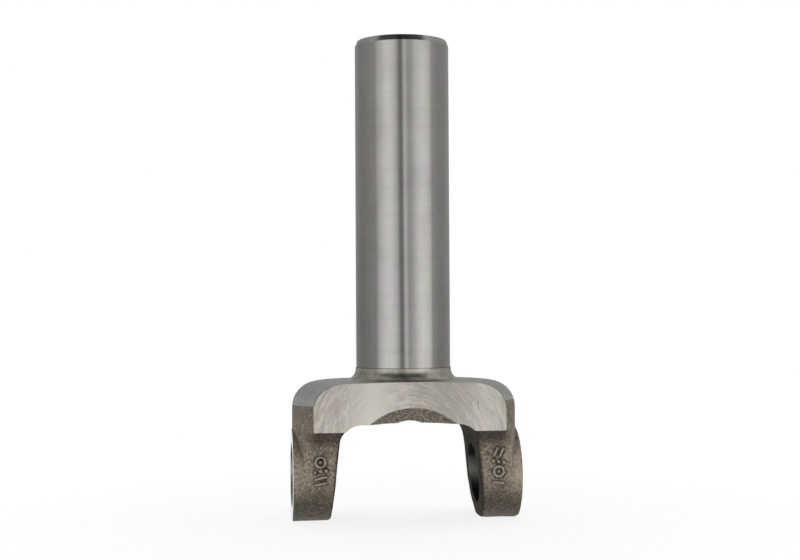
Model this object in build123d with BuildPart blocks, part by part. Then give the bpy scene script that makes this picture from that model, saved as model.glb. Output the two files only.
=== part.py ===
"""Slip yoke of a drive shaft: a ground, splined barrel forged in one piece with a two-eared fork.

The frame's origin is the joint centre, where the barrel's axis crosses the axis of the ear bores.
+Z runs up the barrel, +X along the ear bores and -Y to the front. The yoke stands on its ear tips.
Every length is in millimetres and every angle in degrees.
"""
from build123d import *
from math import acos, cos, degrees, pi, radians, sin, tan
import os

# Ears and their bores for the bearing caps of the joint cross
cap_diameter = 27.0
lockup_width = 92.1
ring_groove_width = 1.6
ring_groove_depth = 0.9
ring_land = 3.35
bore_lead = 1.0
eye_diameter = 42.0
tip_cut = 1.5

# Gap between the ears
gap_at_axis = 64.4
gap_draft = 5.6
gap_corner_radius = 9.0
web_underside = 24.3

# Turned shoulder and its milled front and back flats, which end in a ledge above the eyes
shoulder_setback = 0.3
shoulder_top = 43.1
shoulder_slope = 2.5
shoulder_corner_radius = 11.5
width_across_flats = 55.5
ledge_height = 21.2
ledge_blend_radius = 12.0

# Forged relief under both flats, which clears the ears of the mating yoke
relief_height_at_flat = 31.6
relief_run = 11.0
relief_axis_height = 2.5
relief_shift = 1.2

# Barrel
barrel_diameter = 42.93
barrel_end = 197.1
lead_chamfer_length = 2.5
lead_chamfer_depth = 0.95
grinding_end = 48.5
grinding_step = 0.25
neck_fillet_radius = 5.0

# Internal involute spline
spline_teeth = 31
spline_module = 25.4 / 24
pressure_angle = 30.0
spline_minor_diameter = 31.75
spline_major_diameter = 34.7
mouth_chamfer = 1.2

# Seat of the closing plug at the fork end of the spline
plug_seat_diameter = 37.0
plug_seat_depth = 5.0

# Softened edges of the forging
arm_edge_radius = 1.0
inner_edge_radius = 1.2
tip_radius = 2.0

# How far a cut starts outside the surface it cuts, and how near an edge must lie to be selected
overcut = 1.0
reach = 0.5

groove_start = lockup_width / 2
groove_end = groove_start + ring_groove_width
half_width = groove_end + ring_land
half_flats = width_across_flats / 2
eye_radius = eye_diameter / 2
tip_height = eye_radius - tip_cut
shoulder_radius = half_width - shoulder_setback
barrel_radius = barrel_diameter / 2
neck_radius = barrel_radius + grinding_step
minor_radius = spline_minor_diameter / 2
major_radius = spline_major_diameter / 2


def gap_half_width(height):
    """Distance of an ear's drafted inner face from the barrel's axis, at a height."""
    return gap_at_axis / 2 - height * tan(radians(gap_draft))


def space_half_angle(radius):
    """Half of the angle, in radians, that one involute space of the spline spans at a radius."""
    base_radius = spline_teeth * spline_module / 2 * cos(radians(pressure_angle))
    angle = acos(base_radius / radius)
    involute_at_pitch = tan(radians(pressure_angle)) - radians(pressure_angle)
    return pi / (2 * spline_teeth) + involute_at_pitch - (tan(angle) - angle)


def polar_point(radius, angle):
    """Sketch point at a radius and at an angle in radians."""
    return (radius * cos(angle), radius * sin(angle))


# One space of the spline: two involute flanks, each an arc through three points, and a round floor
flank_radii = (minor_radius, (minor_radius + major_radius) / 2, major_radius)
flank = [polar_point(r, space_half_angle(r)) for r in flank_radii]
with BuildSketch() as spline_space:
    with BuildLine():
        Line((minor_radius - overcut, 0), (minor_radius - overcut, flank[0][1]))
        Line((minor_radius - overcut, flank[0][1]), flank[0])
        ThreePointArc(*flank)
        RadiusArc(flank[-1], (major_radius, 0), major_radius)
        mirror(about=Plane.XZ)
    make_face()

with BuildPart() as slip_yoke:
    # Blank: barrel, neck and shoulder in one turned profile, with the skirt that the arms come from
    shoulder_rim = shoulder_top - (shoulder_radius - neck_radius) * tan(radians(shoulder_slope))
    with BuildSketch(Plane.XZ):
        with BuildLine():
            Polyline(
                (0, 0),
                (shoulder_radius, 0),
                (shoulder_radius, shoulder_rim),
                (neck_radius, shoulder_top),
                (neck_radius, grinding_end),
                (barrel_radius, grinding_end),
                (barrel_radius, barrel_end - lead_chamfer_length),
                (barrel_radius - lead_chamfer_depth, barrel_end),
                (0, barrel_end),
                close=True,
            )
        make_face()
        fillet(vertices().sort_by_distance((shoulder_radius, shoulder_rim))[0], shoulder_corner_radius)
        fillet(vertices().sort_by_distance((neck_radius, shoulder_top))[0], neck_fillet_radius)
    revolve(axis=Axis.Z)

    # Arms: below the ledge the skirt thins from the flats to the width of the eyes in a hollow blend
    blend_angle = degrees(acos(1 - (half_flats - eye_radius) / ledge_blend_radius))
    blend_start = ledge_height - ledge_blend_radius * sin(radians(blend_angle))
    with BuildSketch(Plane.YZ):
        with BuildLine():
            Line((0, 0), (eye_radius, 0))
            Line((eye_radius, 0), (eye_radius, blend_start))
            JernArc((eye_radius, blend_start), (0, 1), ledge_blend_radius, -blend_angle)
            Polyline(
                (half_flats, ledge_height),
                (half_flats, barrel_end + overcut),
                (0, barrel_end + overcut),
            )
            mirror(about=Plane.YZ)
        make_face()
    extrude(amount=shoulder_radius + overcut, both=True, mode=Mode.INTERSECT)
    arm_edges = slip_yoke.edges().filter_by(
        lambda edge: abs(edge.center().X) > gap_at_axis / 2
        and reach < edge.center().Z < ledge_height - reach
        and abs(edge.center().Y) > eye_radius / 2
    )
    fillet(arm_edges, arm_edge_radius)

    # Eyes, flat at their tips
    with BuildSketch(Plane.YZ):
        Circle(eye_radius)
        with Locations((0, -tip_height - eye_radius)):
            Rectangle(eye_diameter, eye_diameter, mode=Mode.SUBTRACT)
    extrude(amount=half_width, both=True)

    # Gap between the ears, with drafted sides
    with BuildSketch(Plane.XZ):
        with BuildLine():
            Polyline(
                (0, -eye_diameter),
                (gap_half_width(-eye_diameter), -eye_diameter),
                (gap_half_width(web_underside), web_underside),
                (0, web_underside),
            )
            mirror(about=Plane.YZ)
        make_face()
        fillet(vertices().group_by(Axis.Y)[-1], gap_corner_radius)
    extrude(amount=half_flats + overcut, both=True, mode=Mode.SUBTRACT)

    # Relief under both flats: two cones about a line along Y, a little off the barrel's axis
    relief_rise = (relief_height_at_flat - web_underside) / relief_run
    with BuildSketch(Plane.YZ.offset(relief_shift)):
        with BuildLine():
            Polyline(
                (half_flats - relief_run, relief_axis_height),
                (half_flats - relief_run, web_underside),
                (half_flats + relief_run, relief_height_at_flat + relief_run * relief_rise),
                (half_flats + relief_run, relief_axis_height),
                close=True,
            )
        make_face()
        mirror(about=Plane.YZ)
    revolve(axis=Axis((relief_shift, 0, relief_axis_height), (0, 1, 0)), mode=Mode.SUBTRACT)

    # Trimming drew over the +X corner of each tip: beside the gap on one ear, outside on the other
    tip_corners = slip_yoke.faces().sort_by(Axis.Z)[:2].edges().filter_by(Axis.Y)
    fillet(tip_corners.filter_by(lambda edge: reach - half_width < edge.center().X < 0), tip_radius)
    with BuildSketch(Plane.XZ):
        with Locations((half_width - tip_radius, tip_radius - tip_height)):
            Rectangle(2 * tip_radius, 2 * tip_radius, align=(Align.MIN, Align.MAX))
            Circle(tip_radius, mode=Mode.SUBTRACT)
    extrude(amount=eye_radius, both=True, mode=Mode.SUBTRACT)

    # Softened inner edges of the ears
    inner_edges = slip_yoke.edges().filter_by(
        lambda edge: abs(abs(edge.center().X) - gap_half_width(edge.center().Z)) < reach
        and abs(edge.center().Y) > eye_radius / 2
        and edge.center().Z < blend_start
    )
    fillet(inner_edges, inner_edge_radius)

    # Cap bores through both ears, each with a ring groove and a lead at its outer mouth
    with BuildSketch(Plane.XY):
        with BuildLine():
            Polyline(
                (0, 0),
                (0, cap_diameter / 2),
                (groove_start, cap_diameter / 2),
                (groove_start, cap_diameter / 2 + ring_groove_depth),
                (groove_end, cap_diameter / 2 + ring_groove_depth),
                (groove_end, cap_diameter / 2),
                (half_width - bore_lead, cap_diameter / 2),
                (half_width + overcut, cap_diameter / 2 + bore_lead + overcut),
                (half_width + overcut, 0),
                close=True,
            )
        make_face()
        mirror(about=Plane.YZ)
    revolve(axis=Axis.X, mode=Mode.SUBTRACT)

    # Splined bore, its mouth and the plug seat
    with BuildSketch(Plane.XY.offset(web_underside)):
        Circle(minor_radius)
        with PolarLocations(0, spline_teeth):
            add(spline_space.sketch)
    extrude(amount=barrel_end - web_underside, mode=Mode.SUBTRACT)
    with BuildSketch(Plane.XZ):
        with BuildLine():
            Polyline(
                (0, barrel_end),
                (major_radius + mouth_chamfer, barrel_end),
                (0, barrel_end - major_radius - mouth_chamfer),
                close=True,
            )
        make_face()
        with BuildLine():
            Polyline(
                (0, web_underside - overcut),
                (plug_seat_diameter / 2, web_underside - overcut),
                (plug_seat_diameter / 2, web_underside + plug_seat_depth),
                (0, web_underside + plug_seat_depth),
                close=True,
            )
        make_face()
    revolve(axis=Axis.Z, mode=Mode.SUBTRACT)

slip_yoke.part.label = "slip_yoke"
os.makedirs("parts", exist_ok=True)
export_step(slip_yoke.part, "parts/slip_yoke.step")
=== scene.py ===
"""Looks of the slip yoke: forged skin, turned, milled and ground steel, studio and camera.

Places, sizes and noises are in millimetres here. Blender works in metres, and so do the panel's lengths.
"""

import functools
import math

import bpy
import numpy as np
from bpy.props import FloatProperty, FloatVectorProperty, PointerProperty
from mathutils import Matrix, Vector, noise


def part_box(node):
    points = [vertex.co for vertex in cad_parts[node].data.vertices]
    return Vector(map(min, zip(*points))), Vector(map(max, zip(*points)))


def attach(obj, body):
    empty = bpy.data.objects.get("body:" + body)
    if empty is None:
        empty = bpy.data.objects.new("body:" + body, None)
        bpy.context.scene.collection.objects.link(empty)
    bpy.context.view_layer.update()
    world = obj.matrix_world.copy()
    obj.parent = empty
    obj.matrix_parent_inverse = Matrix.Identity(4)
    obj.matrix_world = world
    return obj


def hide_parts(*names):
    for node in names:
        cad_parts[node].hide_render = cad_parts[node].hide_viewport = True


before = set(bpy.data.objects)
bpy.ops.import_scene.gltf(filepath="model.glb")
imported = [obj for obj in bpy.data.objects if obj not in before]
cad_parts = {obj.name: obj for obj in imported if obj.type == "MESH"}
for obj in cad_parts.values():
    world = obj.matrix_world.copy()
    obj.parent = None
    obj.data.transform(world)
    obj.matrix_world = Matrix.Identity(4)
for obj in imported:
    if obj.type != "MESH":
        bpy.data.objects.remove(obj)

bl_info = {
    "name": "Slip yoke finishes",
    "version": (1, 0, 0),
    "blender": (4, 5, 0),
    "location": "View3D > Sidebar > Slip yoke",
    "description": "Dresses the slip yoke's frame with forged and machined steel and sets up its studio",
    "category": "Object",
}

NODE = "slip_yoke"
PIECE = "finished_yoke"
WEAR_AND_SHADING = "mark_wear_and_shading"
MM = 1000.0
TINY = 1e-12

# Regions of the surface, in the order of the piece's material slots
FORGED, TURNED, NECK, GROUND, MILLED, FACED, BORED, SPLINED = range(8)

# Places on the part
FLAT_Y = 27.75
FACE_X = 51.0
GROOVE_X = 45.0
EARS_FROM_X = 25.0
BORE_R = 13.5
SEAT_R = 18.5
RIM_INNER_R = 39.0
NECK_OUTER_R = 26.8
NECK_LOW = 42.5
GRINDING_END = 48.5
WEB_Z = 24.3
GAP_DRAFT = 0.098

# Line where the turned shoulder meets the forged skin: its height, its slope along X, its rise to the flats
TURNING_END = 33.3
TURNING_TILT = 0.0205
TURNING_SWELL = 0.85

# How near a triangle lies to a machined plane, and how squarely it faces, to belong to it
FLUSH = 0.01
SQUARE = 0.99

# How far the bores with their leads, and their ring grooves, reach past the bores' radius
LEAD_REACH = 2.0
GROOVE_REACH = 0.95

# Forged skin: sizes of its lumps, dents and grain, and how wide it eases out beside machined edges
LUMP_SIZE, DENT_SIZE, GRAIN_SIZE = 6.5, 2.6, 1.1
EDGE_EASE, FLAT_EASE, SEAT_EASE = 0.8, 0.9, 1.0
SPLIT_ROUNDS = 12
SLOPE_STEP = 0.05

# Raised bars of the die marks on the fronts of the ears: centre x, centre z, half length, turn in degrees
BARS = (
    (-39.1, 0.9, 3.0, 10),
    (-39.2, -1.5, 3.0, 10),
    (38.7, 11.4, 2.5, 66),
    (41.3, 11.2, 2.5, 66),
    (39.9, -2.3, 2.9, -8),
)

# Raised dials and pips of the die marks: centre x, centre z, radius of the ring's middle
RINGS = (
    (-39.2, 7.9, 2.2),
    (-39.2, 7.9, 0.1),
    (-41.6, 3.6, 0.25),
    (-39.2, 3.9, 0.25),
    (-36.8, 4.2, 0.25),
    (37.6, 7.2, 0.25),
    (39.9, 7.0, 0.25),
    (42.2, 6.8, 0.25),
    (40.0, 2.6, 2.2),
    (40.0, 2.6, 0.1),
)

# Areas of the marks, as the ends of their x and z, with the longest mesh edge there
MARK_AREAS = ((-44.0, -34.5, -4.5, 12.5), (35.5, 44.5, -5.0, 15.5))
MARKS_BEFORE_Y = -12.0
MARK_EDGE = 0.3
FAR = 99.0

# How far the outlines of the marks wander, and where their shaded side lies from them
MARK_WANDER = 0.22
WANDER_SIZE = 1.2
SHADE_SHIFT = np.array((-0.22, 0, 0.26))

# Centre of the cutter marks on the flats, and their length per radian
CUTTER_Z = 15.0
CUT_STRETCH = 5.0

# Depth of the hollows that get painted shade
HOLLOW_REACH = 20.0

# Colours that don't follow the panel's
PAINTED_SHADE = (0.035, 0.029, 0.018)
STAIN_AND_DARK_REFLECTION = (0.055, 0.052, 0.04)
FOOT_STAIN_AND_SHADE = (0.055, 0.048, 0.038)
FLAT_EDGE_DARK = (0.06, 0.052, 0.042)
GRINDING_SHADOW_LINE = (0.05, 0.04, 0.038)
DARK_BORE_REFLECTION = (0.03, 0.03, 0.03)
WEAR_AND_HIGHLIGHT = (0.95, 0.86, 0.74)
WHITE = (1, 1, 1)
MID_GREY = (0.5, 0.5, 0.5)
DARK_GREY = (0.2, 0.2, 0.2)

# Light from the studio's dome by heading, in degrees to the right of the camera's side of the yoke
DOME = (
    (-180, 0.45), (-162, 0.34), (-122, 0.28), (-104, 0.29), (-90, 0.32), (-74, 0.36), (-66, 0.40),
    (-64.5, 0.56), (-53, 0.72), (-41, 0.86), (-33, 0.90), (-25, 0.84), (-17, 0.72), (-11, 0.56),
    (-6.5, 0.30), (-1.5, 0.23), (1.5, 0.27), (4.5, 0.64), (8, 0.72), (11.5, 0.56), (15, 0.46), (20, 0.48),
    (29, 0.64), (39, 0.82), (50, 0.89), (60, 0.83), (69, 0.74), (74, 0.66), (76, 0.43), (90, 0.36),
    (110, 0.32), (162, 0.37),
)
DOME_RADIUS = 3000.0
DOME_LOW = -50
DOME_STEPS, DOME_ROWS = 96, 18

# Light that stays as it is where the dome's bright and dark bands are made crisper
CRISP_ABOUT = 0.6

FLOOR_RADIUS = 200.0
FLOOR_CORNERS = 64
SENSOR_WIDTH = 36


def turning_height(x, y):
    """Height at which the turned shoulder ends and the forged skin starts, lowest on the parting line."""
    return TURNING_END + TURNING_TILT * x + TURNING_SWELL * (np.abs(y) / FLAT_Y - 0.6)


def faces_of(node):
    """Welded vertices in millimetres, triangles and the normals at their corners, of a CAD node's mesh."""
    mesh = node.data
    mesh.calc_loop_triangles()
    count = len(mesh.loop_triangles)
    loops = np.empty(count * 3, np.int32)
    mesh.loop_triangles.foreach_get("loops", loops)
    owners = np.empty(len(mesh.loops), np.int32)
    mesh.loops.foreach_get("vertex_index", owners)
    normals = np.empty(len(mesh.loops) * 3, np.float32)
    mesh.corner_normals.foreach_get("vector", normals)
    places = np.empty(len(mesh.vertices) * 3, np.float32)
    mesh.vertices.foreach_get("co", places)
    places = places.reshape(-1, 3).astype(float) * MM
    keys, welded = np.unique(np.round(places, 3), axis=0, return_inverse=True)
    first = np.zeros(len(keys), int)
    first[welded.ravel()] = np.arange(len(places))
    triangles = welded.ravel()[owners[loops]].reshape(-1, 3)
    corners = normals.reshape(-1, 3)[loops].reshape(-1, 3, 3).astype(float)
    full = (
        (triangles[:, 0] != triangles[:, 1])
        & (triangles[:, 1] != triangles[:, 2])
        & (triangles[:, 2] != triangles[:, 0])
    )
    return places[first], triangles[full], corners[full]


def edges_of(triangles):
    """Unique edges of the triangles and, for each triangle, the numbers of its three edges."""
    sides = np.stack([triangles, np.roll(triangles, -1, axis=1)], axis=2).reshape(-1, 2)
    edges, own = np.unique(np.sort(sides, axis=1), axis=0, return_inverse=True)
    return edges, own.reshape(-1, 3)


def unit(vectors):
    """The vectors at length one."""
    return vectors / np.maximum(np.linalg.norm(vectors, axis=-1, keepdims=True), TINY)


def split(places, triangles, corners, edges, own, marked, points):
    """Splits the marked edges at the given points, and each triangle on them into two, three or four."""
    number = np.full(len(edges), -1)
    number[marked] = len(places) + np.arange(marked.sum())
    places = np.vstack([places, points])
    cut = number[own]
    turns = cut >= 0
    count = turns.sum(axis=1)
    new_triangles = [triangles[count == 0]]
    new_corners = [corners[count == 0]]

    def turned(rows, start):
        """Corners, normals and cuts of the rows' triangles, each triangle begun at its own start."""
        order = (start[:, None] + np.arange(3)) % 3
        take = np.arange(len(rows))[:, None]
        return triangles[rows][take, order], corners[rows][take, order], cut[rows][take, order]

    def add(pieces, normals):
        """Keeps one new triangle of each row."""
        new_triangles.append(np.stack(pieces, axis=1))
        new_corners.append(np.stack(normals, axis=1))

    # One cut edge: two triangles
    rows = np.nonzero(count == 1)[0]
    if len(rows):
        t, n, c = turned(rows, np.argmax(turns[rows], axis=1))
        middle = unit(n[:, 0] + n[:, 1])
        add((t[:, 0], c[:, 0], t[:, 2]), (n[:, 0], middle, n[:, 2]))
        add((c[:, 0], t[:, 1], t[:, 2]), (middle, n[:, 1], n[:, 2]))

    # Two cut edges: the tip between them, and the rest parted along its shorter diagonal
    rows = np.nonzero(count == 2)[0]
    if len(rows):
        t, n, c = turned(rows, (np.argmin(turns[rows], axis=1) + 1) % 3)
        m0, m1 = unit(n[:, 0] + n[:, 1]), unit(n[:, 1] + n[:, 2])
        add((c[:, 0], t[:, 1], c[:, 1]), (m0, n[:, 1], m1))
        first = np.linalg.norm(places[t[:, 0]] - places[c[:, 1]], axis=1)
        second = np.linalg.norm(places[c[:, 0]] - places[t[:, 2]], axis=1)
        numbers = np.column_stack([t, c[:, :2]])
        facings = np.concatenate([n, m0[:, None], m1[:, None]], axis=1)
        for shorter, pieces in (
            (first <= second, ((0, 3, 4), (0, 4, 2))),
            (first > second, ((3, 4, 2), (0, 3, 2))),
        ):
            for piece in pieces:
                new_triangles.append(numbers[shorter][:, piece])
                new_corners.append(facings[shorter][:, piece])

    # Three cut edges: four triangles
    rows = np.nonzero(count == 3)[0]
    if len(rows):
        t, n, c = triangles[rows], corners[rows], cut[rows]
        m = [unit(n[:, k] + n[:, (k + 1) % 3]) for k in range(3)]
        add((t[:, 0], c[:, 0], c[:, 2]), (n[:, 0], m[0], m[2]))
        add((c[:, 0], t[:, 1], c[:, 1]), (m[0], n[:, 1], m[1]))
        add((c[:, 1], t[:, 2], c[:, 2]), (m[1], n[:, 2], m[2]))
        add((c[:, 0], c[:, 1], c[:, 2]), (m[0], m[1], m[2]))
    return places, np.vstack(new_triangles), np.vstack(new_corners)


def regions_of(places, triangles, corners):
    """The region of each triangle, from its middle and its normal."""
    x, y, z = places[triangles].mean(axis=1).T
    facing_x, facing_y, facing_z = unit(corners.mean(axis=1)).T
    from_axis, from_bore = np.hypot(x, y), np.hypot(y, z)
    outside = from_axis > SEAT_R
    region = np.full(len(triangles), FORGED)
    region[outside & (z > turning_height(x, y)) & (z < GRINDING_END)] = TURNED
    region[outside & (z > NECK_LOW) & (z < GRINDING_END) & (from_axis < NECK_OUTER_R)] = NECK
    region[(z > GRINDING_END) & (from_axis > SEAT_R - 2)] = GROUND
    region[(np.abs(y) > FLAT_Y - FLUSH) & (np.abs(facing_y) > SQUARE)] = MILLED
    region[(np.abs(x) > FACE_X - FLUSH) & (np.abs(facing_x) > SQUARE)] = FACED
    region[(np.abs(x) > EARS_FROM_X) & (from_bore < BORE_R + LEAD_REACH) & (np.abs(facing_x) < 0.8)] = BORED
    region[(np.abs(x) > GROOVE_X) & (from_bore < BORE_R + GROOVE_REACH)] = BORED
    region[(from_axis < SEAT_R + 0.1) & (z > WEB_Z + 0.05) & (facing_z < 0.6)] = SPLINED
    return region


def smooth(value):
    """Eases a value from 0 to 1."""
    value = np.clip(value, 0, 1)
    return value * value * (3 - 2 * value)


def noise_at(points, size, start):
    """Noise of a size at each point, from -1 to 1. Each start gives a noise of its own."""
    return np.array([noise.noise(point) for point in points / size + start])


def mark_distance(points, settings):
    """Distance of each point from the uneven outline of the nearest raised die mark, negative inside it."""
    x, y, z = points.T
    half_width = settings.mark_width * MM / 2
    nearest = np.full(len(points), FAR)
    for centre_x, centre_z, half_length, turn in BARS:
        c, s = math.cos(math.radians(turn)), math.sin(math.radians(turn))
        along = (x - centre_x) * c + (z - centre_z) * s
        across = (z - centre_z) * c - (x - centre_x) * s
        past = np.maximum(np.abs(along) - (half_length - half_width), 0)
        nearest = np.minimum(nearest, np.hypot(past, across) - half_width)
    for centre_x, centre_z, radius in RINGS:
        across = np.abs(np.hypot(x - centre_x, z - centre_z) - radius)
        nearest = np.minimum(nearest, across - half_width)
    return np.where(y < 0, nearest + MARK_WANDER * noise_at(points, WANDER_SIZE, 15), FAR)


def skin_height(points, settings):
    """Height of the forged skin over the CAD surface.

    It has lumps, dents, grain and die marks, and eases out beside the machined edges.
    """
    x, y, z = points.T
    height = (
        settings.lump_height * noise_at(points, LUMP_SIZE, 0)
        + settings.dent_height * noise_at(points, DENT_SIZE, 40)
        + settings.grain_height * noise_at(points, GRAIN_SIZE, 90)
    )
    raised = smooth(0.5 - mark_distance(points, settings) / (settings.mark_draft * MM))
    on_ear = np.abs(x) > EARS_FROM_X
    ease = np.minimum.reduce([
        (turning_height(x, y) - z) / EDGE_EASE,
        (FLAT_Y - np.abs(y)) / FLAT_EASE,
        (FACE_X - np.abs(x)) / EDGE_EASE,
        np.where(on_ear, (np.hypot(y, z) - BORE_R) / EDGE_EASE, (np.hypot(x, y) - SEAT_R) / SEAT_EASE),
    ])
    return smooth(ease) * (height + settings.mark_height * raised) * MM


def skin_limit(points, settings):
    """Longest edge that the forged skin may have at each point."""
    x, y, z = points.T
    limit = np.full(len(points), settings.skin_edge * MM)
    for x_low, x_high, z_low, z_high in MARK_AREAS:
        limit[(y < MARKS_BEFORE_Y) & (x > x_low) & (x < x_high) & (z > z_low) & (z < z_high)] = MARK_EDGE
    return limit


def cut_at_turning(places, triangles, corners):
    """Splits the edges on the shoulder's rim that cross the line between turned steel and forged skin."""
    edges, own = edges_of(triangles)
    start, end = places[edges[:, 0]], places[edges[:, 1]]
    above_start = start[:, 2] - turning_height(start[:, 0], start[:, 1])
    above_end = end[:, 2] - turning_height(end[:, 0], end[:, 1])
    from_axis = np.minimum(np.hypot(start[:, 0], start[:, 1]), np.hypot(end[:, 0], end[:, 1]))

    # Edges that only touch the line stay whole
    crossing = (above_start * above_end < -1e-6) & (from_axis > RIM_INNER_R)
    share = (above_start / (above_start - above_end + TINY))[crossing, None]
    points = start[crossing] + share * (end[crossing] - start[crossing])
    return split(places, triangles, corners, edges, own, crossing, points)


def refined(places, triangles, corners, settings):
    """Splits the forged skin's edges at their middles until each is as short as it should be."""
    for _ in range(SPLIT_ROUNDS):
        region = regions_of(places, triangles, corners)
        edges, own = edges_of(triangles)
        forged = np.zeros(len(edges), bool)
        forged[own[region == FORGED].ravel()] = True
        middle = places[edges].mean(axis=1)
        length = np.linalg.norm(places[edges[:, 1]] - places[edges[:, 0]], axis=1)
        marked = forged & (length > skin_limit(middle, settings))
        if not marked.any():
            break
        points = middle[marked]
        places, triangles, corners = split(places, triangles, corners, edges, own, marked, points)
    return places, triangles, corners


def forged_and_machined(settings):
    """The yoke's mesh, fine and uneven where it is forged and as in CAD where it is machined.

    Gives its places, triangles, corner normals and regions, and the marks' wear and painted shading: 1 on
    their tops, lighter from wear and a painted highlight, and down to -1 in the painted shadow at their feet.
    """
    coarse = cut_at_turning(*faces_of(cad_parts[NODE]))
    places, triangles, corners = refined(*coarse, settings)
    region = regions_of(places, triangles, corners)
    rows = region == FORGED
    skin, old = triangles[rows], corners[rows]

    # Each place is raised along the mean of the normals round it
    direction = np.zeros_like(places)
    for k in range(3):
        np.add.at(direction, skin[:, k], old[:, k])
    used = np.unique(skin)
    points = places[used]
    height = skin_height(points, settings)
    slope = np.zeros_like(places)
    for axis, shift in enumerate(SLOPE_STEP * np.eye(3)):
        slope[used, axis] = (skin_height(points + shift, settings) - height) / SLOPE_STEP
    places[used] += unit(direction[used]) * height[:, None]

    # The normals lean with the slope of the skin
    lean = slope[skin]
    corners[rows] = unit(old - (lean - (lean * old).sum(axis=2, keepdims=True) * old))

    # A mark's top is lighter, from wear and a painted highlight, from 0.4 mm inside its outline. Its painted
    # shadow is 1.1 mm wide and lies 0.2 mm outside its outline, shifted to the right and down.
    wear_and_shading = np.zeros(len(places))
    top = smooth(-mark_distance(points, settings) / 0.4)
    foot = smooth(1.1 - np.abs(mark_distance(points + SHADE_SHIFT, settings) - 0.2) / 0.5)
    wear_and_shading[used] = top - (1 - top) * foot
    return places, triangles, corners, region, wear_and_shading


def object_of(name, places, faces):
    """An object with a new mesh, from places in millimetres."""
    mesh = bpy.data.meshes.new(name)
    mesh.from_pydata((np.asarray(places) / MM).tolist(), [], faces)
    made = bpy.data.objects.new(name, mesh)
    bpy.context.scene.collection.objects.link(made)
    return made


def piece_of(name, places, triangles, normals, region, wear_and_shading):
    """The dressed piece, with its own corner normals, a material slot on each face and the marks' wear and
    painted shading.
    """
    piece = object_of(name, places, triangles.tolist())
    mesh = piece.data
    mesh.polygons.foreach_set("material_index", region.astype(np.int32))
    mesh.polygons.foreach_set("use_smooth", np.ones(len(triangles), bool))
    mesh.update()
    mesh.normals_split_custom_set(normals.reshape(-1, 3).tolist())
    mesh.attributes.new(WEAR_AND_SHADING, "FLOAT", "POINT").data.foreach_set("value", wear_and_shading.astype(np.float32))
    return piece


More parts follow.
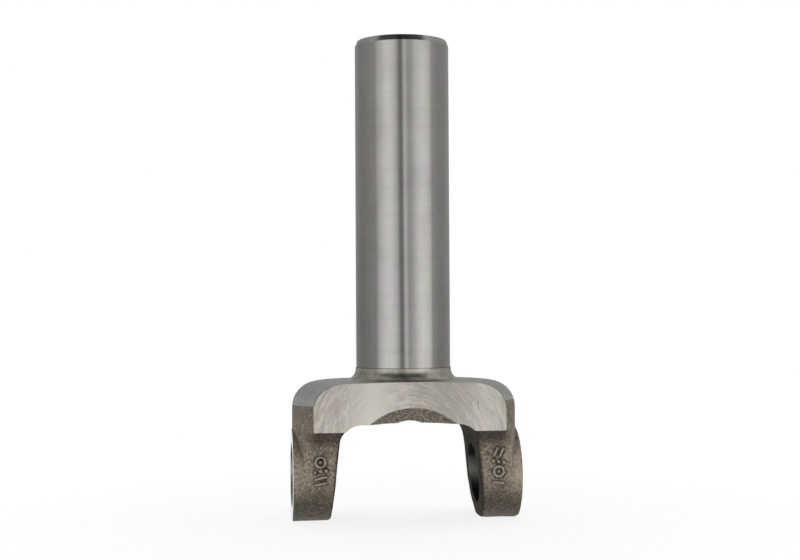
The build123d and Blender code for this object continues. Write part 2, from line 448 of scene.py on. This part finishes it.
class Nodes:
    """A short way to write a shader: each call adds a node and links or sets its inputs.

    Places and bump depths are in millimetres, and the scale of a noise is in features per millimetre.
    """

    def __init__(self, tree):
        self.tree = tree
        tree.nodes.clear()

    def add(self, kind, inputs=None, **settings):
        """A node of a kind, with some of its inputs linked or set."""
        made = self.tree.nodes.new(kind)
        for name, value in settings.items():
            setattr(made, name, value)
        for name, value in (inputs or {}).items():
            socket = made.inputs[name]
            if isinstance(value, bpy.types.NodeSocket):
                self.tree.links.new(value, socket)
            elif socket.type == "RGBA":
                socket.default_value = (*value, 1)
            else:
                socket.default_value = value
        return made

    def math(self, operation, *values):
        """One step of arithmetic."""
        return self.add("ShaderNodeMath", dict(enumerate(values)), operation=operation).outputs[0]

    def product(self, *values):
        """All the values multiplied."""
        return functools.reduce(lambda so_far, value: self.math("MULTIPLY", so_far, value), values)

    def highest(self, *values):
        """The highest of the values."""
        return functools.reduce(lambda so_far, value: self.math("MAXIMUM", so_far, value), values)

    def apart(self, value, centre=0):
        """How far a value lies from a centre, to either side."""
        return self.math("ABSOLUTE", self.math("SUBTRACT", value, centre) if centre else value)

    def distance(self, first, second):
        """Distance from an axis, from the two coordinates across it."""
        return self.math("SQRT", self.math("ADD", self.product(first, first), self.product(second, second)))

    def place(self, scale=(1, 1, 1), location=(0, 0, 0), rotation=(0, 0, 0)):
        """Object coordinates, scaled, turned and moved."""
        inputs = {
            "Vector": self.add("ShaderNodeTexCoord").outputs["Object"],
            "Scale": tuple(MM * factor for factor in scale),
            "Location": location,
            "Rotation": rotation,
        }
        return self.add("ShaderNodeMapping", inputs).outputs[0]

    def parts(self):
        """The three object coordinates of the point that is shaded."""
        return tuple(self.add("ShaderNodeSeparateXYZ", {0: self.place()}).outputs)

    def line(self, along, across=0.0):
        """Place for a noise that changes along one value, and slowly across it."""
        return self.add("ShaderNodeCombineXYZ", {0: along, 1: across, 2: 0.0}).outputs[0]

    def noise(self, scale, vector=None, detail=2.0, roughness=0.5):
        """Noise from 0 to 1."""
        inputs = {"Scale": scale, "Detail": detail, "Roughness": roughness}
        inputs["Vector"] = vector or self.place()
        return self.add("ShaderNodeTexNoise", inputs).outputs["Fac"]

    def between(self, value, low, high, to_low=0.0, to_high=1.0):
        """Maps a value from one range to another and stops at its ends."""
        inputs = {"Value": value, "From Min": low, "From Max": high, "To Min": to_low, "To Max": to_high}
        return self.add("ShaderNodeMapRange", inputs).outputs[0]

    def blend(self, share, first, second):
        """Colour between two colours."""
        return self.add("ShaderNodeMix", {0: share, 6: first, 7: second}, data_type="RGBA").outputs[2]

    def over(self, colour, other, value, low, high, share=1.0):
        """Lays another colour over a colour, more so as a value goes from low to high."""
        return self.blend(self.between(value, low, high, 0, share), colour, other)

    def bump(self, height, depth, strength=1.0, normal=None):
        """Normal over a height field of a given depth."""
        inputs = {"Height": height, "Distance": depth / MM, "Strength": strength}
        if normal:
            inputs["Normal"] = normal
        return self.add("ShaderNodeBump", inputs).outputs[0]

    def metal(self, colour, roughness, normal, metallic=1.0, more=None):
        """A metal surface as the material's output, with more inputs if any are given."""
        inputs = {"Base Color": colour, "Roughness": roughness, "Normal": normal, "Metallic": metallic}
        made = self.add("ShaderNodeBsdfPrincipled", inputs | (more or {}))
        self.add("ShaderNodeOutputMaterial", {"Surface": made.outputs[0]})

    def ringed_metal(self, colour, roughness, normal, smear, metallic=1.0):
        """A metal surface whose rings about the barrel's axis smear its reflections along the barrel."""
        tangent = self.add("ShaderNodeTangent", direction_type="RADIAL", axis="Z").outputs[0]
        rings = {"Anisotropic": smear, "Anisotropic Rotation": 0.25, "Tangent": tangent}
        self.metal(colour, roughness, normal, metallic, rings)

    def glow(self, strength):
        """White light, given off at a strength."""
        return self.add("ShaderNodeEmission", {"Color": WHITE, "Strength": strength}).outputs[0]

    def either(self, share, first, second):
        """One surface or light that goes over to a second by a share."""
        return self.add("ShaderNodeMixShader", {0: share, 1: first, 2: second}).outputs[0]


def material(name):
    """A new material and the writer of its nodes."""
    made = bpy.data.materials.new(name)
    made.use_nodes = True
    return made, Nodes(made.node_tree)


def times(colour, *factors):
    """A colour times one factor, or times one for each of its three parts, held at 1."""
    factors = factors * 3 if len(factors) == 1 else factors
    return tuple(min(1, part * factor) for part, factor in zip(colour, factors))


def forged_material(settings):
    """Shot-blasted forging skin: brown grey, grainy, with lighter worn grains and darker scale, a painted
    highlight on the eyes and painted shade in its hollows.
    """
    made, n = material("forged_skin")
    x, y, z = n.parts()
    wide, deep = n.apart(x), n.apart(y)
    blobs = n.noise(0.34)
    grain = n.noise(0.82, detail=4, roughness=0.7)
    fine_grain = n.noise(0.95, n.place(location=(10, 20, 0)), detail=3, roughness=0.65)
    specks = n.noise(1.7)
    base = tuple(settings.forged_colour)
    dark, light = times(base, 0.5), times(base, 2.1)
    colour = n.over(base, dark, n.noise(0.11, detail=3), 0.35, 0.7, 0.5)

    # Painted highlight, with some wear, on the outer rims of the eyes, and a little across the fronts of the
    # eyes
    rim = n.product(
        n.between(wide, 42.5, 48),
        n.between(z, -14, -6),
        n.between(z, 20, 10),
        n.between(x, -40, 40, 0.65, 1.0),
    )
    front_highlight = n.product(n.between(z, -8, -2), n.between(z, 12, 5, 0, 0.3))
    colour = n.blend(n.highest(rim, front_highlight), colour, light)

    # Grain, coarser on the eyes and coarsest under the arch
    arch = n.product(n.between(wide, 26, 22), n.between(z, 22, 25))
    mottled = n.highest(n.between(z, 14, 10, 0, 0.22), n.product(arch, 0.85))
    colour = n.over(colour, light, blobs, 0.48, 0.64, mottled)
    colour = n.over(colour, dark, blobs, 0.46, 0.34, mottled)
    colour = n.over(colour, light, grain, 0.52, 0.62, 0.9)
    colour = n.over(colour, dark, grain, 0.46, 0.38, 0.9)
    colour = n.over(colour, light, specks, 0.6, 0.68, 0.8)
    colour = n.over(colour, light, fine_grain, 0.52, 0.58, arch)
    colour = n.over(colour, dark, fine_grain, 0.49, 0.43, arch)
    # Tops of the marks lighter, from wear and a painted highlight
    wear_and_shading = n.add("ShaderNodeAttribute", attribute_name=WEAR_AND_SHADING).outputs["Fac"]
    colour = n.over(colour, light, wear_and_shading, 0, 1, 0.6)

    # Painted shade in the gap, in hollows, at the feet of the marks, towards the tips, under the ledges and
    # the arch, and faintly near the middle a little above the web
    gap_side = n.math("ADD", wide, n.product(z, GAP_DRAFT))
    inner = n.product(n.between(gap_side, 33.8, 32.4), n.between(wide, 23, 27))
    ledge = n.product(
        n.between(z, 11.5, 17.5),
        n.between(z, 21.8, 20.8),
        n.between(deep, 20.5, 22, 0, 0.72),
        n.between(wide, 46, 41, 0.15, 1.0),
    )
    reach = {"Distance": HOLLOW_REACH / MM}
    open_sky = n.add("ShaderNodeAmbientOcclusion", reach, samples=8, only_local=True).outputs["AO"]
    painted_shade = n.highest(
        n.product(n.between(wear_and_shading, 0, -1, 0, 0.9), n.between(grain, 0.6, 0.4, 0.5, 1.0)),
        n.product(n.between(open_sky, 0.85, 0.35, 0, 0.8), n.math("SUBTRACT", 1.0, arch)),
        n.product(inner, 0.82),
        n.between(z, 1, -10.5, 0, 0.7),
        n.product(n.between(z, 24, 28, 0, 0.1), n.between(wide, 30, 35)),
        ledge,
        n.product(arch, 0.46),
    )
    colour = n.blend(painted_shade, colour, PAINTED_SHADE)

    hue = n.between(n.noise(0.26, n.place(location=(30, 20, 10))), 0.35, 0.65, 0.48, 0.52)
    tinted = n.add("ShaderNodeHueSaturation", {"Hue": hue, "Color": colour}).outputs[0]
    roughness = n.highest(n.between(grain, 0.3, 0.7, 0.34, 0.54), n.product(inner, 0.8))
    pits = n.bump(specks, 0.4, 1.0, n.bump(grain, 1.1))
    metallic = n.between(inner, 0, 1, 0.55, 0.1)
    n.metal(tinted, roughness, pits, metallic, {"Specular IOR Level": 0.3})
    return made


def turned_material(settings):
    """Turned shoulder: cool mid grey with fine rings about the barrel's axis."""
    made, n = material("turned_steel")
    x, y, z = n.parts()
    rings = n.noise(2.6, n.line(n.math("SUBTRACT", n.distance(x, y), z)))
    mottle = n.noise(0.26, detail=3)
    base = tuple(settings.turned_colour)
    dark, light = times(base, 0.78), times(base, 1.3)
    colour = n.over(base, dark, mottle, 0.35, 0.7, 0.8)
    colour = n.over(colour, light, z, 37.5, 34.5, 0.6)
    colour = n.over(colour, dark, rings, 0.45, 0.7, 0.5)
    colour = n.over(colour, dark, z, 37, NECK_LOW + 0.5, 0.8)
    # A thin dark line on the shoulder along the edges of the flats
    colour = n.over(colour, FLAT_EDGE_DARK, n.apart(y), FLAT_Y - 0.7, FLAT_Y - 0.1, 0.75)
    roughness = n.between(mottle, 0.3, 0.7, 0.44, 0.52)
    n.ringed_metal(colour, roughness, n.bump(rings, 0.05, 0.5), smear=0.4, metallic=0.85)
    return made


def neck_material(settings):
    """Neck below the ground barrel: satin steel with dark stains, a painted dark reflection, painted
    highlights and painted shade, and a painted shadow line at its top.
    """
    made, n = material("neck_steel")
    x, _, z = n.parts()
    wide = n.apart(x)
    rings = n.noise(0.03, n.place(scale=(1, 1, 60)), detail=3)
    mottle = n.noise(0.24, detail=3)
    spots = n.noise(0.17, n.place(scale=(1, 1, 2), location=(0, 10, 20)), detail=3, roughness=0.6)
    stains = n.noise(0.075, n.place(scale=(1, 1, 5), location=(10, 0, 0)), detail=4, roughness=0.6)
    base = tuple(settings.turned_colour)
    warm, green = times(base, 1.04, 0.98, 0.87), times(base, 0.67, 0.68, 0.58)
    colour = n.over(warm, green, mottle, 0.4, 0.62)
    colour = n.over(colour, times(base, 1.12, 1.0, 0.93), spots, 0.52, 0.64, 0.8)

    # Stains with a painted dark reflection in a band at the front and back, a painted highlight with some
    # wear on either side of it, and stains with painted shade at its foot by the flats
    band = n.product(
        n.between(stains, 0.38, 0.6, 0.25, 0.85),
        n.between(z, 47.1, 46.2),
        n.between(z, 43.3, 44.5),
        n.between(wide, 14, 7, 0.35, 1.0),
    )
    colour = n.blend(band, colour, STAIN_AND_DARK_REFLECTION)
    wear_and_highlight = n.product(
        n.between(z, 43.8, 44.3),
        n.between(z, 46, 45),
        n.between(n.apart(wide, 10.5), 4.5, 1, 0, 0.32),
    )
    colour = n.blend(wear_and_highlight, colour, WEAR_AND_HIGHLIGHT)
    foot = n.product(
        n.between(stains, 0.3, 0.5, 0.6, 1.0),
        n.between(z, 43.9, 43.5),
        n.between(wide, 24, 12, 0, 0.6),
    )
    colour = n.blend(foot, colour, FOOT_STAIN_AND_SHADE)
    # Painted shadow line where the grinding ends
    colour = n.over(colour, GRINDING_SHADOW_LINE, z, GRINDING_END - 0.25, GRINDING_END - 0.05, 0.7)
    roughness = n.between(mottle, 0.3, 0.7, 0.3, 0.42)
    metallic = n.between(z, 45.2, 43.8, 0.95, 0.5)
    n.ringed_metal(colour, roughness, n.bump(rings, 0.03, 0.4), smear=0.5, metallic=metallic)
    return made


def ground_material(settings):
    """Ground barrel: bright satin steel whose fine rings smear its reflections along the barrel."""
    made, n = material("ground_steel")
    _, _, z = n.parts()
    rings = n.noise(0.022, n.place(scale=(1, 1, 32)), detail=3, roughness=0.6)
    clouds = n.noise(0.038, n.place(scale=(1, 1, 0.35)), detail=3)
    smudges = n.noise(0.095, n.place(scale=(1, 1, 0.6), location=(20, 0, 10)), detail=3)
    streaks = n.noise(0.42, n.place(scale=(1, 1, 0.02)))
    tints = n.noise(0.13, n.place(scale=(1, 1, 0.8), location=(40, 0, 30)), detail=4)
    base = tuple(settings.ground_colour)
    dull, bright = times(base, 0.8), times(base, 1.08)
    colour = n.over(base, times(base, 1.02, 0.97, 0.92), clouds, 0.35, 0.7)
    colour = n.over(colour, times(base, 1.05, 0.96, 0.98), tints, 0.52, 0.64, 0.7)
    colour = n.over(colour, times(base, 0.98, 1.01, 0.9), tints, 0.48, 0.36, 0.7)
    colour = n.over(colour, dull, smudges, 0.52, 0.68, 0.5)
    colour = n.over(colour, bright, smudges, 0.46, 0.34, 0.6)
    colour = n.over(colour, dull, streaks, 0.45, 0.75, 0.4)
    colour = n.over(colour, dull, rings, 0.5, 0.68, 0.16)
    colour = n.over(colour, bright, rings, 0.46, 0.34, 0.18)
    # Painted shadow line where the grinding ends
    colour = n.over(colour, GRINDING_SHADOW_LINE, z, GRINDING_END + 0.3, GRINDING_END + 0.05, 0.6)
    roughness = n.between(clouds, 0.3, 0.7, 0.165, 0.215)
    n.ringed_metal(colour, roughness, n.bump(rings, 0.02, 0.25), smear=settings.ground_smear)
    return made


def milled_material(settings):
    """Milled flats: light warm steel with curved cutter marks about a point below the face."""
    made, n = material("milled_steel")
    x, _, z = n.parts()
    height = n.math("SUBTRACT", z, CUTTER_Z)
    round_cutter = n.product(n.math("ARCTAN2", height, x), CUT_STRETCH)
    track = n.line(n.distance(x, height), round_cutter)
    cuts = n.noise(2.5, track, detail=4, roughness=0.7)
    broad = n.noise(0.65, track)
    clouds = n.noise(0.11, detail=3)
    base = tuple(settings.milled_colour)
    dark, light = times(base, 0.65), times(base, 1.24)
    colour = n.over(base, dark, cuts, 0.42, 0.68, 0.9)
    colour = n.over(colour, light, cuts, 0.48, 0.34, 0.9)
    colour = n.over(colour, dark, broad, 0.5, 0.68, 0.7)
    colour = n.over(colour, light, broad, 0.47, 0.34, 0.7)
    colour = n.over(colour, times(base, 1.0, 0.92, 0.95), clouds, 0.52, 0.7, 0.5)
    colour = n.over(colour, times(base, 0.92, 1.0, 0.94), clouds, 0.46, 0.3, 0.5)

    # Painted sheen of the cutter marks: two bright stretches and a painted duller one between them, then
    # scratches near both ends
    glint = n.highest(
        n.between(n.apart(x, -16.5), 16, 2, 0, 0.85),
        n.between(n.apart(x, 34), 8, 1, 0, 0.35),
    )
    colour = n.blend(glint, colour, times(base, 1.28))
    colour = n.over(colour, dark, n.apart(x, 16), 14, 4, 0.5)
    slant = n.place(scale=(1, 1, 0.12), rotation=(0, math.radians(-22), 0))
    near_ends = n.between(n.apart(x), 18, 30, 0, 0.45)
    colour = n.over(colour, times(base, 0.4), n.noise(0.9, slant, detail=1), 0.66, 0.72, near_ends)
    roughness = n.between(broad, 0.3, 0.7, 0.4, 0.5)
    n.metal(colour, roughness, n.bump(broad, 0.03, 0.4, n.bump(cuts, 0.02, 0.7)))
    return made


def faced_material(settings):
    """Faced outer sides of the ears: rings about the bores' axis."""
    made, n = material("faced_steel")
    _, y, z = n.parts()
    rings = n.noise(2.2, n.line(n.distance(y, z)))
    mottle = n.noise(0.2, detail=3)
    base = tuple(settings.turned_colour)
    colour = n.over(base, times(base, 0.75), mottle, 0.3, 0.7)
    n.metal(colour, n.between(mottle, 0.3, 0.7, 0.12, 0.18), n.bump(rings, 0.02, 0.3))
    return made


def bored_material(settings):
    """Bores, grooves and leads: bored steel with fine rings along the bores, and a painted dark reflection
    that is strongest above and below their middle.
    """
    made, n = material("bored_steel")
    x, _, z = n.parts()
    rings = n.noise(2.6, n.line(x))
    mottle = n.noise(0.18, detail=3)
    base = tuple(settings.turned_colour)
    colour = n.over(base, times(base, 0.8), mottle, 0.3, 0.7)
    # Painted dark reflection, strongest towards the top and bottom of the bores
    dark_reflection = n.highest(n.between(z, -1, 7.5, 0.2, 0.97), n.between(z, 0, -9, 0.2, 0.85))
    colour = n.blend(dark_reflection, colour, DARK_BORE_REFLECTION)
    n.metal(colour, n.between(mottle, 0.3, 0.7, 0.3, 0.4), n.bump(rings, 0.03, 0.4))
    return made


def splined_material(settings):
    """Spline, its mouth and the plug seat: broached steel with marks along the barrel."""
    made, n = material("splined_steel")
    lines = n.noise(1.4, n.place(scale=(1, 1, 0.03)))
    mottle = n.noise(0.12, detail=3)
    base = times(settings.turned_colour, 0.9)
    colour = n.over(base, times(base, 0.7), mottle, 0.3, 0.7)
    n.metal(colour, n.between(mottle, 0.3, 0.7, 0.3, 0.42), n.bump(lines, 0.03, 0.4))
    return made


def seen_directly(n):
    """1 for what the camera sees, also by way of metal or glass, and 0 for the light that falls on things."""
    path = n.add("ShaderNodeLightPath").outputs
    return n.highest(path["Is Camera Ray"], path["Is Glossy Ray"], path["Is Transmission Ray"])


def studio_world():
    """White background that lights the yoke only half as much as it shows."""
    world = bpy.data.worlds.new("studio")
    bpy.context.scene.world = world
    world.use_nodes = True
    n = Nodes(world.node_tree)
    dim, white = (n.add("ShaderNodeBackground", {"Color": colour}).outputs[0] for colour in (MID_GREY, WHITE))
    n.add("ShaderNodeOutputWorld", {"Surface": n.either(seen_directly(n), dim, white)})


def circle(radius, height, count):
    """Places on a level circle about the barrel's axis."""
    turns = [2 * math.pi * step / count for step in range(count)]
    return [(radius * math.cos(turn), radius * math.sin(turn), height) for turn in turns]


def dome_shape():
    """Places and faces of the dome: rows of four-sided faces, and triangles round its top."""
    places = []
    for row in range(DOME_ROWS):
        lift = math.radians(DOME_LOW + (90 - DOME_LOW) * row / DOME_ROWS)
        places += circle(DOME_RADIUS * math.cos(lift), DOME_RADIUS * math.sin(lift), DOME_STEPS)
    places.append((0, 0, DOME_RADIUS))
    faces = []
    last = (DOME_ROWS - 1) * DOME_STEPS
    for step in range(DOME_STEPS):
        after = (step + 1) % DOME_STEPS
        for start in range(0, last, DOME_STEPS):
            follow = start + DOME_STEPS
            faces.append((start + step, start + after, follow + after, follow + step))
        faces.append((last + step, last + after, last + DOME_STEPS))
    return places, faces


def dome_material(settings):
    """Light of the dome, by heading and height."""
    made, n = material("dome_light")
    x, y, z = n.parts()
    facing = n.math("ARCTAN2", x, n.product(y, -1.0))
    heading = n.math("DEGREES", n.math("ADD", facing, settings.camera_heading))
    lift = n.math("DEGREES", n.math("ARCSINE", n.math("DIVIDE", z, DOME_RADIUS)))

    # The bands lean a little, one way low down and the other way high up
    lean = n.between(lift, -8, 17, -2.2, 2.2)
    turn = n.math("WRAP", n.math("ADD", heading, lean), 180.0, -180.0)
    ramp = n.add("ShaderNodeValToRGB", {"Fac": n.between(turn, -180, 180)})
    stops = ramp.color_ramp.elements
    for _ in DOME[2:]:
        stops.new(0.5)
    for stop, (angle, light) in zip(stops, DOME):
        stop.position = (angle + 180) / 360
        stop.color = (light, light, light, 1)

    # Crisper bands low down, less light above the front, more above the sides and the back
    crisp = n.between(lift, 10, -12, 1.0, 1.5)
    bands = n.math("POWER", n.math("DIVIDE", ramp.outputs[0], CRISP_ABOUT), crisp)
    front = n.between(n.apart(turn), 70, 78, 1.0, 0.0)
    dim, bright = n.between(lift, 25, 37, 1.0, 0.04), n.between(lift, 20, 60, 1.0, 1.6)
    rise = n.add("ShaderNodeMix", {0: front, 2: bright, 3: dim}, data_type="FLOAT").outputs[0]

    # A low patch of full light right behind the yoke
    behind = n.product(n.between(n.apart(turn), 160, 167), n.between(lift, -1, -3))
    light = n.highest(n.product(bands, CRISP_ABOUT, rise), behind)
    n.add("ShaderNodeOutputMaterial", {"Surface": n.glow(n.product(light, settings.dome_light))})
    return made


def studio_dome(settings):
    """Dome of soft light round the yoke, brighter and darker by heading, which the camera looks through."""
    dome = object_of("dome", *dome_shape())
    dome.visible_camera = False
    dome.visible_shadow = False
    dome.data.materials.append(dome_material(settings))


def floor_material(settings):
    """White floor that fades to pure white at its rim and shines less on the yoke than it shows."""
    made, n = material("white_floor")
    x, y, _ = n.parts()
    lit = n.add("ShaderNodeBsdfDiffuse", {"Color": MID_GREY}).outputs[0]
    both = n.add("ShaderNodeAddShader", {0: lit, 1: n.glow(settings.floor_glow)}).outputs[0]
    rim = n.between(n.distance(x, y), FLOOR_RADIUS * 0.5, FLOOR_RADIUS * 0.98)
    plain = n.add("ShaderNodeBsdfDiffuse", {"Color": DARK_GREY}).outputs[0]
    shown = n.either(seen_directly(n), plain, n.either(rim, both, n.glow(1.0)))
    n.add("ShaderNodeOutputMaterial", {"Surface": shown})
    return made


def studio_floor(settings):
    """Round white floor that keeps a faint shadow of the yoke."""
    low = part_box(NODE)[0][2] * MM
    rim = circle(FLOOR_RADIUS, low, FLOOR_CORNERS)
    floor = object_of("floor", rim, [tuple(range(FLOOR_CORNERS))])
    floor.data.materials.append(floor_material(settings))


def studio_camera(settings):
    """Camera that looks straight ahead, turned by its heading, tilted by its pitch and then rolled."""
    heading, pitch, roll = settings.camera_heading, settings.camera_pitch, settings.camera_roll
    ahead = Vector((
        math.sin(heading) * math.cos(pitch),
        math.cos(heading) * math.cos(pitch),
        math.sin(pitch),
    ))
    level = Vector((math.cos(heading), -math.sin(heading), 0))
    over = level.cross(ahead)
    right = math.cos(roll) * level + math.sin(roll) * over
    up = math.cos(roll) * over - math.sin(roll) * level
    data = bpy.data.cameras.new("camera")
    data.lens = settings.lens
    data.sensor_width = SENSOR_WIDTH
    camera = bpy.data.objects.new("camera", data)
    turn = Matrix((right, up, -ahead)).transposed().to_4x4()
    camera.matrix_world = Matrix.Translation(Vector(settings.camera_place)) @ turn
    bpy.context.scene.collection.objects.link(camera)
    bpy.context.scene.camera = camera


class SkinSettings(bpy.types.PropertyGroup):
    """Sizes of the forged skin."""

    skin_edge: FloatProperty(
        name="Skin mesh edge", description="Longest edge of the forged skin's mesh",
        default=0.00115, min=0.0003, unit="LENGTH",
    )
    lump_height: FloatProperty(
        name="Lump height", description="Height of the broad lumps left by the dies",
        default=0.00016, min=0, unit="LENGTH",
    )
    dent_height: FloatProperty(
        name="Dent height", description="Height of the small dents left by shot blasting",
        default=0.00007, min=0, unit="LENGTH",
    )
    grain_height: FloatProperty(
        name="Grain height", description="Height of the grain of the skin",
        default=0.00004, min=0, unit="LENGTH",
    )
    mark_height: FloatProperty(
        name="Die mark height", description="Height of the raised bars and rings on the ears",
        default=0.0009, min=0, unit="LENGTH",
    )
    mark_width: FloatProperty(
        name="Die mark width", description="Width of the raised bars and rings on the ears",
        default=0.0013, min=0.0002, unit="LENGTH",
    )
    mark_draft: FloatProperty(
        name="Die mark draft", description="Width of the sloping sides of the bars and rings",
        default=0.0007, min=0.0002, unit="LENGTH",
    )


class FinishSettings(bpy.types.PropertyGroup):
    """Colours of the finishes."""

    forged_colour: FloatVectorProperty(
        name="Forged skin", description="Colour of the shot-blasted forging skin",
        default=(0.4, 0.342, 0.268), subtype="COLOR", min=0, max=1,
    )
    turned_colour: FloatVectorProperty(
        name="Turned steel", description="Colour of the turned and bored surfaces",
        default=(0.71, 0.71, 0.69), subtype="COLOR", min=0, max=1,
    )
    ground_colour: FloatVectorProperty(
        name="Ground steel", description="Colour of the ground barrel",
        default=(0.57, 0.565, 0.55), subtype="COLOR", min=0, max=1,
    )
    milled_colour: FloatVectorProperty(
        name="Milled steel", description="Colour of the milled flats",
        default=(0.81, 0.757, 0.682), subtype="COLOR", min=0, max=1,
    )
    ground_smear: FloatProperty(
        name="Ground smear", description="How far the barrel's grinding rings smear its reflections",
        default=0.96, min=0, max=1, subtype="FACTOR",
    )


class StudioSettings(bpy.types.PropertyGroup):
    """Light and camera."""

    dome_light: FloatProperty(
        name="Dome light", description="Strength of the light from the studio's dome",
        default=1.0, min=0,
    )
    floor_glow: FloatProperty(
        name="Floor glow", description="Light that the floor gives off where it is seen",
        default=0.8, min=0,
    )
    lens: FloatProperty(
        name="Lens", description="Focal length of the camera",
        default=63.92, min=1, unit="CAMERA",
    )
    camera_place: FloatVectorProperty(
        name="Camera place", description="Where the camera stands",
        default=(-0.074353, -0.645248, 0.07502), subtype="TRANSLATION", unit="LENGTH",
    )
    camera_heading: FloatProperty(
        name="Camera heading", description="Turn of the camera to the right of straight ahead",
        default=math.radians(6.463), subtype="ANGLE",
    )
    camera_pitch: FloatProperty(
        name="Camera pitch", description="Tilt of the camera above level",
        default=math.radians(1.158), subtype="ANGLE",
    )
    camera_roll: FloatProperty(
        name="Camera roll", description="Roll of the camera about its own view",
        default=math.radians(-0.31), subtype="ANGLE",
    )


class YOKE_OT_surfaces(bpy.types.Operator):
    """Builds the yoke's surfaces over its CAD frame, uneven where they are forged."""

    bl_idname = "yoke.surfaces"
    bl_label = "Build surfaces"

    def execute(self, context):
        piece = piece_of(PIECE, *forged_and_machined(context.scene.yoke_skin))
        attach(piece, "root")
        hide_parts(NODE)
        return {"FINISHED"}


class YOKE_OT_finishes(bpy.types.Operator):
    """Gives each region of the yoke its own finish."""

    bl_idname = "yoke.finishes"
    bl_label = "Apply finishes"

    def execute(self, context):
        settings = context.scene.yoke_finish
        slots = bpy.data.objects[PIECE].data.materials
        for make in (
            forged_material,
            turned_material,
            neck_material,
            ground_material,
            milled_material,
            faced_material,
            bored_material,
            splined_material,
        ):
            slots.append(make(settings))
        return {"FINISHED"}


class YOKE_OT_stage(bpy.types.Operator):
    """Sets up the floor, the studio's light and the camera."""

    bl_idname = "yoke.stage"
    bl_label = "Set up studio"

    def execute(self, context):
        settings = context.scene.yoke_studio
        context.scene.view_settings.view_transform = "Standard"
        studio_world()
        studio_dome(settings)
        studio_floor(settings)
        studio_camera(settings)
        return {"FINISHED"}


class YOKE_PT_panel(bpy.types.Panel):
    """Lists the yoke's settings and operators."""

    bl_idname = "YOKE_PT_panel"
    bl_label = "Slip yoke"
    bl_space_type = "VIEW_3D"
    bl_region_type = "UI"
    bl_category = "Slip yoke"

    def draw(self, context):
        for group, operator in (
            ("yoke_skin", "yoke.surfaces"),
            ("yoke_finish", "yoke.finishes"),
            ("yoke_studio", "yoke.stage"),
        ):
            box = self.layout.box()
            settings = getattr(context.scene, group)
            for name in settings.__annotations__:
                box.prop(settings, name)
            box.operator(operator)


CLASSES = (
    SkinSettings,
    FinishSettings,
    StudioSettings,
    YOKE_OT_surfaces,
    YOKE_OT_finishes,
    YOKE_OT_stage,
    YOKE_PT_panel,
)


def register():
    """Adds the add-on's classes and its settings."""
    for entry in CLASSES:
        bpy.utils.register_class(entry)
    bpy.types.Scene.yoke_skin = PointerProperty(type=SkinSettings)
    bpy.types.Scene.yoke_finish = PointerProperty(type=FinishSettings)
    bpy.types.Scene.yoke_studio = PointerProperty(type=StudioSettings)


def unregister():
    """Takes the settings and the classes away again."""
    del bpy.types.Scene.yoke_skin
    del bpy.types.Scene.yoke_finish
    del bpy.types.Scene.yoke_studio
    for entry in reversed(CLASSES):
        bpy.utils.unregister_class(entry)


def main():
    """Builds, dresses and stages the yoke."""
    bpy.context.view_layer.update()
    register()
    bpy.ops.yoke.surfaces()
    bpy.ops.yoke.finishes()
    bpy.ops.yoke.stage()


if __name__ == "__main__":
    main()
